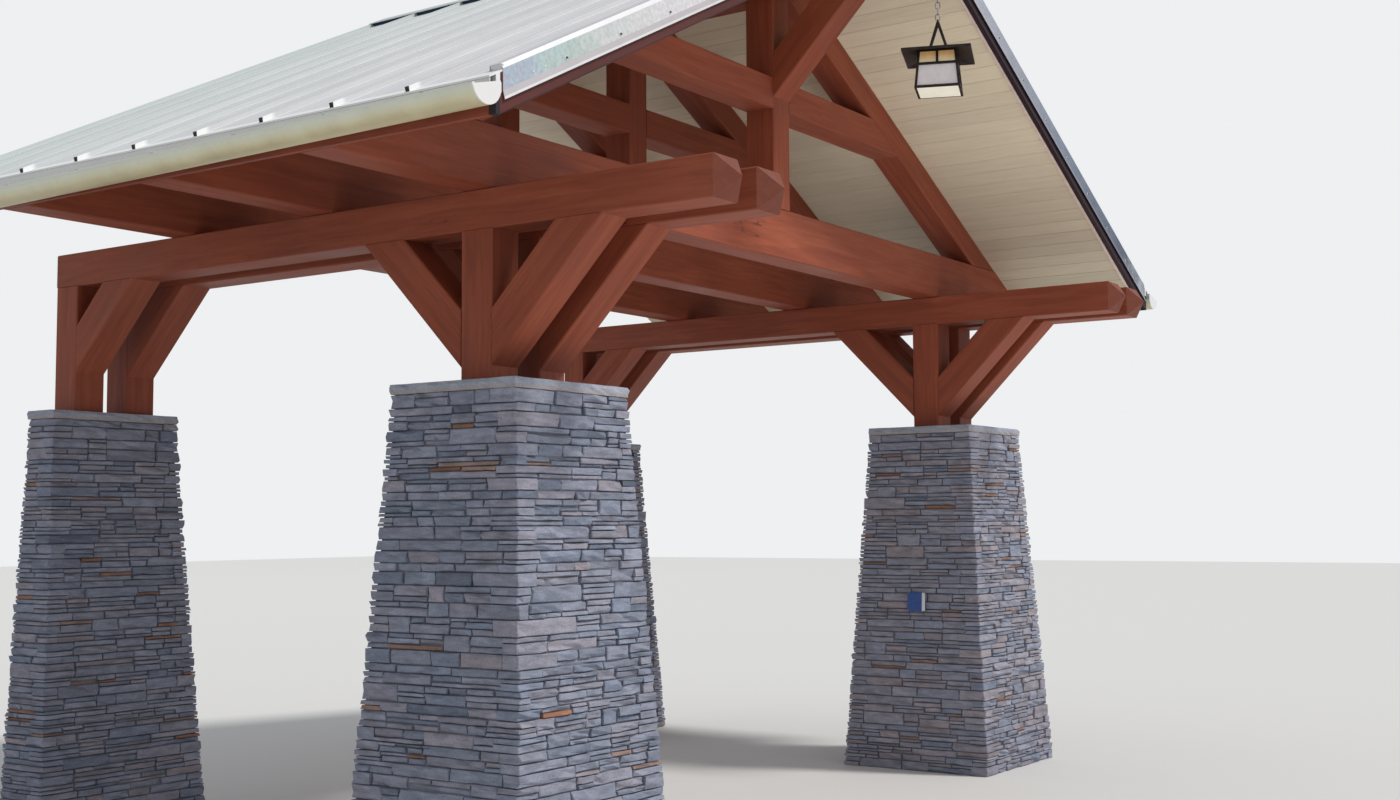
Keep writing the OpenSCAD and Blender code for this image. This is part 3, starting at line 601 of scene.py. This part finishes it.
def timber_finish(name, axis, fold=None, fold_at=0.0, shift=(0.0, 0.0, 0.0), painted_shade=None):
    """Stained timber with its grain along axis.

    fold is 0 for X or 1 for Y, and mirrors the pattern there at fold_at. A shade colour, where
    given, multiplies it darker as painted shade.
    """
    finish, tree, place = new_finish(name, Specular_IOR_Level=0.35)
    facing = place.node.outputs["Normal"]
    if fold is not None:
        parts, turned = axes(tree, place), axes(tree, facing)
        away = calc(tree, "SUBTRACT", parts[fold], fold_at)
        parts[fold] = calc(tree, "ABSOLUTE", away)
        turned[fold] = calc(tree, "MULTIPLY", turned[fold], calc(tree, "SIGN", away))
        place, facing = joined(tree, *parts), joined(tree, *turned)
    axis = Vector(axis).normalized()
    turn = axis.rotation_difference(Vector((1, 0, 0))).to_euler()
    lengthwise = add_node(tree, "ShaderNodeMapping",
                          {"Vector": place, "Rotation": turn, "Location": shift}).outputs[0]
    across = add_node(tree, "ShaderNodeVectorMath", {0: facing, 1: axis},
                      operation="DOT_PRODUCT").outputs["Value"]
    cut_end = span(tree, calc(tree, "ABSOLUTE", across), 0.2, 0.5)
    grain = add_node(tree, "ShaderNodeGroup", {"Along": lengthwise, "Cut End": cut_end},
                     node_tree=grain_group).outputs
    colour = mixed(tree, 1.0, grain["Color"], painted_shade, "MULTIPLY") if painted_shade else grain["Color"]
    coat(tree, colour, grain["Roughness"], grain["Height"], 0.5, 0.0015)
    return finish


def repaint(finish, *node_names):
    """Puts a finish on CAD nodes in place of their plain colour."""
    for name in node_names:
        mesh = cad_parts[name].data
        mesh.materials.clear()
        mesh.materials.append(finish)


down_rafter = (math.cos(pitch), 0, -math.sin(pitch))
repaint(timber_finish("post_stain", (0, 0, 1)),
        "front_left_posts", "front_right_posts", "rear_left_posts", "rear_right_posts",
        "king_posts")
repaint(timber_finish("beam_stain", (0, 1, 0), shift=(3.1, 0.4, 1.7)),
        "left_outer_beam", "left_inner_beam", "right_inner_beam", "right_outer_beam", "ridge_beam")
repaint(timber_finish("chord_stain", (1, 0, 0), shift=(1.3, 2.1, 0.2)),
        "front_chord", "middle_chord", "rear_chord", "collars")
repaint(timber_finish("rafter_stain", down_rafter, 0),
        "front_rafters", "middle_rafters", "rear_rafters")
repaint(timber_finish("brace_stain", (0, 1, 1), 1, front_pier_y, shift=(0.7, 0.3, 2.2)),
        "front_left_braces", "front_right_braces")
repaint(timber_finish("rear_brace_stain", (0, -1, 1), shift=(0.5, 1.3, 2.2)),
        "rear_left_braces", "rear_right_braces", "ridge_brace")

# -------------------------------------------------------------------------------------------------
# Ceilings: cream-stained tongued and grooved boards, 20 mm thick with 132 mm showing, nailed up to
# the rafters from below. They run parallel to the ridge, with V joints and staggered butt joints.
# A cover strip closes their edge along the front of the roof.
board_width, board_thickness, v_joint = 0.132, 0.020, 0.0028
board_gap, butt_gap, butt_after = 0.0004, 0.0003, (1.2, 3.2)
peak_z, ceiling_run, deck_y = 5.32633, 3.765, -1.998
cover_from, cover_inset, cover_drop, cover_y = 0.13, 0.010, 0.012, (deck_y - 0.008, deck_y + 0.010)

board_finish, tree, spot = new_finish("cream_boards", Roughness=0.5, Specular_IOR_Level=0.3)
tone = add_node(tree, "ShaderNodeAttribute", attribute_name="tone").outputs["Fac"]
grain = noise(tree, stretch(tree, spot, 16.0, 0.9, 16.0), 1.8, 6.0, Roughness=0.6, Distortion=0.5)
fibre = noise(tree, stretch(tree, spot, 180.0, 4.0, 180.0), 1.0, 3.0)
cream = graded(tree, grain, (0.20, (0.690, 0.600, 0.445)), (0.80, (0.775, 0.690, 0.530)))
by_board = calc(tree, "MULTIPLY", span(tree, tone, 0.0, 1.0, 0.94, 1.05),
                span(tree, fibre, 0.3, 0.7, 0.94, 1.04))
aside = calc(tree, "ABSOLUTE", axes(tree, spot)[0])
# The boards are painted up to 6 % lighter near the peak and down to 74 % towards the eaves: painted
# light and shade.
painted_shade_and_dust = span(tree, aside, 1.4, 3.6, 1.06, 0.74)
coat(tree, scaled(tree, cream, calc(tree, "MULTIPLY", by_board, painted_shade_and_dust)),
     height=fibre, strength=0.25, distance=0.0008)


def board_ceiling(name, side, seed):
    """All the boards of one slope; X of a board runs down the slope before it is tilted."""
    chance = random.Random(seed)
    boards = bmesh.new()
    tone_of = boards.verts.layers.float.new("tone")
    tilt = (Matrix.Translation((0, 0, peak_z)) @ Matrix.Scale(side, 4, (1, 0, 0))
            @ Matrix.Rotation(pitch, 4, "Y"))
    length = ceiling_run / math.cos(pitch)
    row, at = 0, 0.0
    while at < length - 0.01:
        wide = min(board_width, length - at)
        ends = [deck_y, wall_y]
        if row % 3 != 1:
            ends.insert(1, deck_y + chance.uniform(*butt_after))
        for y0, y1 in zip(ends, ends[1:]):
            board = box(Vector((at + board_gap, y0 + butt_gap, 0.0)),
                        Vector((at + wide - board_gap, y1 - butt_gap, board_thickness)))
            joint = [e for e in board.edges if all(v.co.z < 0.001 for v in e.verts)
                     and abs(e.verts[0].co.y - e.verts[1].co.y) > 0.1]
            ease(board, joint, v_joint)
            bmesh.ops.transform(board, matrix=tilt, verts=board.verts)
            if side < 0:
                bmesh.ops.reverse_faces(board, faces=board.faces)
            if at == 0.0 or at + wide > length - 0.03:
                for x, facing in ((0.001 * side, -side), (side * (ceiling_run - 0.001), side)):
                    rim = cut_plane(board, (x, 0, 0), (facing, 0, 0), True)
                    bmesh.ops.holes_fill(board, edges=rim)
            corners, _ = pour(board, boards)
            this_tone = chance.random()
            for v in corners:
                v[tone_of] = this_tone
        at += wide
        row += 1
    ceiling = place_piece(name, boards, board_finish)
    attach(ceiling, "root")
    return ceiling


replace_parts(board_ceiling("left_ceiling_boards", -1, 3), "left_ceiling")
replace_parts(board_ceiling("right_ceiling_boards", 1, 4), "right_ceiling")


def down_slope(side):
    """Carries X to the line that runs down one slope of the ceiling from its peak."""
    return Matrix.Translation((0, 0, peak_z)) @ Matrix.Rotation(side * pitch, 4, "Y")


edge_finish, tree, spot = new_finish("cream_edge_strip", Roughness=0.55)
pink = graded(tree, noise(tree, spot, 14.0, 4.0), (0.3, (0.640, 0.500, 0.430)),
              (0.7, (0.760, 0.630, 0.550)))
# On the left slope the strip is painted dark red-brown: painted shade.
left_slope_in_painted_shade = calc(tree, "LESS_THAN", axes(tree, spot)[0], 0.0)
coat(tree, mixed(tree, left_slope_in_painted_shade, pink, (0.090, 0.036, 0.036)))
edge_strips = bmesh.new()
for side in (-1, 1):
    x0, x1 = sorted((side * cover_from, side * ceiling_run / math.cos(pitch)))
    rounded_block(edge_strips, (x0 + cover_inset, cover_y[0], -cover_drop),
                  (x1 - cover_inset, cover_y[1], 0.0), 0.002, 0, down_slope(side))
cover = place_piece("ceiling_edge_strips", edge_strips, edge_finish)
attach(cover, "root")

# -------------------------------------------------------------------------------------------------
# Roof deck: the rafters, boarding and underlay between ceiling and metal, nailed to the trusses and
# cut off square at the back. Only its sawn edges show, as bare softwood.
deck_finish, tree, spot = new_finish("bare_deck", Roughness=0.85)
plies = noise(tree, stretch(tree, spot, 3.0, 3.0, 60.0), 1.0, 5.0)
bare = graded(tree, plies, (0.3, (0.300, 0.215, 0.130)), (0.7, (0.480, 0.365, 0.235)))
coat(tree, bare, height=plies, strength=0.4, distance=0.001)
repaint(deck_finish, "left_roof_deck", "right_roof_deck")

# -------------------------------------------------------------------------------------------------
# Roof sheets: roll-formed steel with a standing rib every 445 mm and shallow lines rolled in
# between, painted a pale grey that has chalked in the sun. A painted reflection turns it greener
# towards the back, and painted shade draws the rolled lines as darker stripes and darkens the
# ribs. The ribs are open at the eave, their end faces painted near-black as painted shade. Dark
# blue closures fill the gaps between them under the folded ridge cap.
pan_lift, rib_high, rib_pitch, lines_per_bay = 0.17222, 0.022, 0.445, 6.0
board_y, sheet_run = -2.036, 3.830
pan_top = peak_z + pan_lift

roof_finish, tree, spot = new_finish("pale_grey_roof", Metallic=0.05, Specular_IOR_Level=0.3)
x, y, z = axes(tree, spot)
marks = noise(tree, stretch(tree, spot, 0.35, 55.0, 0.35), 1.0, 5.0, Roughness=0.65)
chalk = noise(tree, spot, 1.6, 6.0, Roughness=0.6)
paint = graded(tree, chalk, (0.28, (0.640, 0.640, 0.668)), (0.72, (0.725, 0.720, 0.745)))
# Painted reflection: towards the back the grey is mixed up to three quarters with a greener grey.
greened_by_painted_reflection = mixed(tree, span(tree, y, -1.6, 2.4, 0.0, 0.75), paint, (0.545, 0.618, 0.605))
marked = scaled(tree, greened_by_painted_reflection, span(tree, marks, 0.3, 0.7, 0.90, 1.07))
aside = calc(tree, "ABSOLUTE", x)
fallen = calc(tree, "ADD", z, calc(tree, "MULTIPLY_ADD", aside, roof_slope, -pan_top))
over_pan = calc(tree, "MULTIPLY", fallen, math.cos(pitch))
over_pan.node.name = "over_pan"
bay = calc(tree, "FRACT", calc(tree, "MULTIPLY_ADD", y, 1 / rib_pitch, -board_y / rib_pitch))
in_line = calc(tree, "FRACT", calc(tree, "MULTIPLY", bay, lines_per_bay))
off_line = calc(tree, "ABSOLUTE", calc(tree, "SUBTRACT", in_line, 0.5))
lines = span(tree, off_line, 0.08, 0.20, 0.84, 1.0)
# The rolled lines are drawn as darker stripes, down to 84 %, and the ribs 14 % darker: painted
# shade.
ruled = scaled(tree, marked, calc(tree, "MULTIPLY", lines,
                                  span(tree, over_pan, 0.001, 0.004, 1.0, 0.86)))
to_edge = calc(tree, "SUBTRACT", sheet_run, aside)
edged = mixed(tree, span(tree, to_edge, 0.050, 0.075, 1.0, 0.0), ruled, (0.780, 0.790, 0.800))
# The ribs' end faces at the eave are painted near-black: painted shade for their hollow insides.
rib_end_painted_shade = calc(tree, "MINIMUM", calc(tree, "GREATER_THAN", aside, sheet_run - 0.0006),
                calc(tree, "GREATER_THAN", over_pan, 0.0012))
coat(tree, mixed(tree, rib_end_painted_shade, edged, (0.022, 0.024, 0.030)),
     span(tree, chalk, 0.3, 0.7, 0.46, 0.62), calc(tree, "ADD", marks, lines), 0.3, 0.001)
repaint(roof_finish, "left_roof_sheets", "right_roof_sheets")


def reopen(finish):
    """The tree and the present colour of a finish that gets one more layer."""
    tree = finish.node_tree
    return tree, tree.nodes["Principled BSDF"].inputs["Base Color"].links[0].from_socket


cap_metal_finish = roof_finish.copy()
cap_metal_finish.name = "ridge_cap_and_closures"
tree, painted = reopen(cap_metal_finish)
under_cap = calc(tree, "LESS_THAN", tree.nodes["over_pan"].outputs[0], rib_high - 0.0005)
coat(tree, mixed(tree, under_cap, painted, (0.018, 0.036, 0.085)))
repaint(cap_metal_finish, "ridge_cap")

# -------------------------------------------------------------------------------------------------
# Edge boards and trims: stained boards close both slopes' ends and the eaves, their
# stain darkened by painted shade and the right slope's rake boards painted near-black as
# painted shade. A folded metal trim with a bevelled top and a hemmed lip covers the rake boards.
# Its colour is painted reflection in blue and green patches, with painted highlights on the bevel
# and hem and painted shade on the lip; the right slope's trim is a darker copy in painted shade.
# Screws with washers hold it every 420 mm, and a folded tab shuts its lower end.
eave_rim_z = 3.482
trim_face_y, trim_bevel, trim_lip, trim_hem = -2.039, 0.019, 0.099, 0.123
trim_screws, screw_drop = [3.350 - 0.377 * k for k in range(9)], 0.060
trim_rivets, rivet_drop = (3.564, 3.488), 0.056
washer_size, head_size, rivet_size = (0.0105, 0.0020, 16), (0.0060, 0.0045, 6), (0.0050, 0.0020, 12)
tab_x, tab_y, tab_z = (4.121, 4.131), (board_y + 0.001, board_y + 0.067), (0.1525, 0.1725)

# Painted shade: the rake boards' stain is darkened, and on the right slope painted near-black.
rake_finish = timber_finish("rake_board_stain", down_rafter, 0, shift=(0.4, 0.9, 0.6),
                            painted_shade=(0.34, 0.33, 0.60))
tree, stained = reopen(rake_finish)
right_slope_in_painted_shade = calc(tree, "GREATER_THAN", axes(tree, coordinates(tree))[0], 0.0)
coat(tree, mixed(tree, right_slope_in_painted_shade, stained, (0.024, 0.010, 0.016)))
repaint(rake_finish, "rake_boards")

# Painted shade darkens the eave boards' stain a little.
eave_finish = timber_finish("eave_board_stain", (0, 1, 0), shift=(0.4, 2.9, 0.6),
                            painted_shade=(0.86, 0.82, 0.90))
tree, stained = reopen(eave_finish)
_, y, z = axes(tree, coordinates(tree))
# Their front ends are painted near-black below the gutter's rim, as painted shade, and pale grey
# above it.
board_end_painted_shade_and_white = mixed(tree, calc(tree, "GREATER_THAN", z, eave_rim_z), (0.020, 0.012, 0.020),
                  (0.700, 0.710, 0.720))
coat(tree, mixed(tree, calc(tree, "LESS_THAN", y, deck_y), stained, board_end_painted_shade_and_white))
repaint(eave_finish, "eave_boards")

trim_finish, tree, spot = new_finish("trim_painted_reflection", Metallic=0.15)
x, _, z = axes(tree, spot)
cloud = noise(tree, spot, 9.0, 7.0, Roughness=0.65)
fine = noise(tree, spot, 55.0, 4.0)
aside = calc(tree, "ABSOLUTE", x)
moved = calc(tree, "ADD", aside, calc(tree, "MULTIPLY_ADD", cloud, 0.9, -0.45))
along = calc(tree, "MULTIPLY", moved, 0.25)
# Painted reflection in blue and green patches; the right slope has a darker copy, painted shade.
painted_reflection_film = graded(tree, along, (0.62, (0.690, 0.670, 0.700)), (0.760, (0.600, 0.620, 0.625)),
              (0.830, (0.440, 0.530, 0.505)), (0.875, (0.450, 0.555, 0.565)),
              (0.900, (0.390, 0.460, 0.550)), (0.925, (0.430, 0.455, 0.535)))
shady = graded(tree, along, (0.20, (0.380, 0.400, 0.460)), (0.55, (0.180, 0.210, 0.280)),
               (0.84, (0.075, 0.095, 0.145)), (0.93, (0.360, 0.390, 0.440)))
right_slope_in_painted_shade = calc(tree, "GREATER_THAN", x, 0.0)
colour = scaled(tree, mixed(tree, right_slope_in_painted_shade, painted_reflection_film, shady),
                span(tree, fine, 0.35, 0.65, 0.88, 1.08))
rib_top = pan_top + rib_high / math.cos(pitch)
fallen = calc(tree, "ADD", z, calc(tree, "MULTIPLY_ADD", aside, roof_slope, -rib_top))
down = calc(tree, "MULTIPLY", fallen, -math.cos(pitch))
# Painted highlights on the bevel and the hem and painted shade on the lip, full on the left slope
# and faint on the right.
sunny_side = calc(tree, "MULTIPLY_ADD", right_slope_in_painted_shade, -0.82, 0.95)
for limit_kind, limit, paint in (("LESS_THAN", trim_bevel, (0.540, 0.545, 0.575)),
                                 ("GREATER_THAN", trim_lip, (0.400, 0.372, 0.392)),
                                 ("GREATER_THAN", trim_hem, (0.600, 0.600, 0.612))):
    zone = calc(tree, "MULTIPLY", calc(tree, limit_kind, down, limit), sunny_side)
    colour = mixed(tree, zone, colour, paint)
coat(tree, colour, span(tree, cloud, 0.3, 0.7, 0.34, 0.52), cloud, 0.2, 0.002)
repaint(trim_finish, "rake_trims")

washer_finish = flecked("pale_washers", 120.0, 3.0, (0.60, 0.62, 0.64), (0.76, 0.78, 0.79),
                        Roughness=0.5)
head_finish = flecked("dark_screw_heads", 200.0, 3.0, (0.050, 0.060, 0.070), (0.120, 0.130, 0.150),
                      Roughness=0.4, Metallic=0.6)
screws = bmesh.new()


def trim_disc(side, at, drop, out, size, finish):
    """A washer, head or rivet on the face of a rake trim; size is radius, thickness and sides."""
    radius, thickness, sides = size
    centre = (side * at, trim_face_y - out - thickness / 2,
              pan_top - at * roof_slope - drop / math.cos(pitch))
    turned_head(screws, (radius * 0.9, radius), thickness, sides, finish,
                Matrix.Translation(centre) @ Matrix.Rotation(math.radians(-90), 4, "X"))


for side in (-1, 1):
    for at in trim_screws:
        trim_disc(side, at, screw_drop, 0.0, washer_size, 0)
        trim_disc(side, at, screw_drop, washer_size[1], head_size, 1)
    for at in trim_rivets:
        trim_disc(side, at, rivet_drop, 0.0, rivet_size, 0)
    x0, x1 = sorted(side * x for x in tab_x)
    rounded_block(screws, (x0, tab_y[0], tab_z[0]), (x1, tab_y[1], tab_z[1]), 0.001, 0,
                  down_slope(side))
trim_fixings = place_piece("rake_trim_screws", screws, washer_finish, head_finish)
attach(trim_fixings, "root")

# -------------------------------------------------------------------------------------------------
# Gutters: half-round, folded from almond-painted metal, with a rolled front edge and soldered
# ends; the front ends are painted near-white as a painted highlight, and a band under the rolled
# edge is darkened as painted shade. They fall 50 mm towards the back. A white metal drip strip
# hangs from the sheets' ends into the trough, and flat straps across it hold the gutter's front
# edge every 560 mm.
gutter_front, gutter_fall, gutter_length = -2.065, 0.050, 4.4947
gutter_x, gutter_rim_z = 3.875, 3.47983
sheet_foot = peak_z + 0.16321 - sheet_run * roof_slope
drip_face, drip_hem = (0.008, 0.001, 0.075, 0.0, 0.0015), (0.010, -0.002, 0.080, 0.072, 0.003)
strap_reach, strap_half, strap_drop = (-0.080, 0.078), (0.0125, 0.0015), 0.016
strap_count, first_strap, strap_pitch = 8, 0.28, 0.56

gutter_finish, tree, spot = new_finish("almond_gutter", Metallic=0.1)
_, y, z = axes(tree, spot)
dust = noise(tree, spot, 5.0, 6.0, Roughness=0.65)
fall_rate = gutter_fall / gutter_length
fallen = calc(tree, "MULTIPLY_ADD", y, fall_rate, -gutter_front * fall_rate - gutter_rim_z)
over_rim = calc(tree, "ADD", calc(tree, "ADD", z, fallen),
                calc(tree, "MULTIPLY_ADD", dust, 0.03, -0.015))
# The face is graded by height: warmer and more yellow low down, paler higher up, and dark in a band
# just under the rolled rim, painted shade.
almond_and_painted_shade = graded(tree, span(tree, over_rim, -0.090, -0.010), (0.05, (0.560, 0.490, 0.300)),
                (0.35, (0.640, 0.610, 0.420)), (0.60, (0.640, 0.655, 0.540)),
                (0.84, (0.620, 0.640, 0.560)), (0.95, (0.330, 0.370, 0.310)))
painted_shade_and_dust = scaled(tree, almond_and_painted_shade, span(tree, dust, 0.3, 0.7, 0.93, 1.06))
# The front ends are painted near-white: a painted highlight.
front_end_painted_highlight = calc(tree, "LESS_THAN", y, gutter_front + 0.005)
coat(tree, mixed(tree, front_end_painted_highlight, painted_shade_and_dust, (0.740, 0.735, 0.735)),
     span(tree, dust, 0.3, 0.7, 0.32, 0.5))
repaint(gutter_finish, "left_gutter", "right_gutter")

drips, straps = bmesh.new(), bmesh.new()
for side in (-1, 1):
    for inner, outer, low, high, edge in (drip_face, drip_hem):
        x0, x1 = sorted((side * (sheet_run - inner), side * (sheet_run - outer)))
        rounded_block(drips, (x0, board_y, sheet_foot - low), (x1, wall_y, sheet_foot - high), edge)
    x0, x1 = sorted(side * (gutter_x + reach) for reach in strap_reach)
    for k in range(strap_count):
        y = gutter_front + first_strap + strap_pitch * k
        z = gutter_rim_z - strap_drop - fall_rate * (y - gutter_front)
        rounded_block(straps, (x0, y - strap_half[0], z - strap_half[1]),
                      (x1, y + strap_half[0], z + strap_half[1]), 0.001)
drip_strips = place_piece("eave_drip_strips", drips, washer_finish)
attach(drip_strips, "root")
gutter_straps = place_piece("gutter_straps", straps, steel_finish)
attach(gutter_straps, "root")

# -------------------------------------------------------------------------------------------------
# Hanging lantern: a dark bronze frame and hipped roof on a chain of welded links, glazed with white
# glass below the sill and amber glass above it.
lantern_foot_z, lantern_sill_z, lantern_rim_z = 4.2623, 4.407, 4.4683

bronze_finish, tree, spot = new_finish("dark_bronze", Metallic=0.7)
cloud = noise(tree, spot, 30.0, 5.0)
bronze = graded(tree, cloud, (0.3, (0.018, 0.014, 0.014)), (0.7, (0.055, 0.042, 0.036)))
coat(tree, bronze, span(tree, cloud, 0.3, 0.7, 0.35, 0.55))
repaint(bronze_finish, "lantern_roof", "lantern_frame")

# The chain is coloured far paler than the frame's bronze, as a painted sheen.
chain_finish = flecked("bronze_chain_painted_sheen", 90.0, 4.0, (0.200, 0.182, 0.185),
                       (0.600, 0.575, 0.590), 0.35, 0.65, Metallic=0.6, Roughness=0.38)
repaint(chain_finish, "lantern_chain")

# The glass glows faintly in its own colour, a painted glow: no lamp is lit in the lantern.
glass_finish, tree, spot = new_finish("white_and_amber_glass", Roughness=0.35,
                                      Emission_Strength=0.22)
_, _, z = axes(tree, spot)
amber = graded(tree, span(tree, z, lantern_sill_z, lantern_rim_z), (0.15, (0.880, 0.740, 0.480)),
               (0.95, (0.640, 0.380, 0.150)))
panes = mixed(tree, calc(tree, "GREATER_THAN", z, lantern_sill_z), (0.640, 0.590, 0.600), amber)
with_foot = mixed(tree, calc(tree, "LESS_THAN", z, lantern_foot_z + 0.001), panes,
                  (0.900, 0.870, 0.740))
seeds = noise(tree, spot, 22.0, 3.0)
seeded = scaled(tree, with_foot, span(tree, seeds, 0.3, 0.7, 0.94, 1.05))
coat(tree, seeded)
tree.links.new(seeded, tree.nodes["Principled BSDF"].inputs["Emission Color"])
repaint(glass_finish, "lantern_glass")

# -------------------------------------------------------------------------------------------------
# The box of the finished canopy.
low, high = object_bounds()
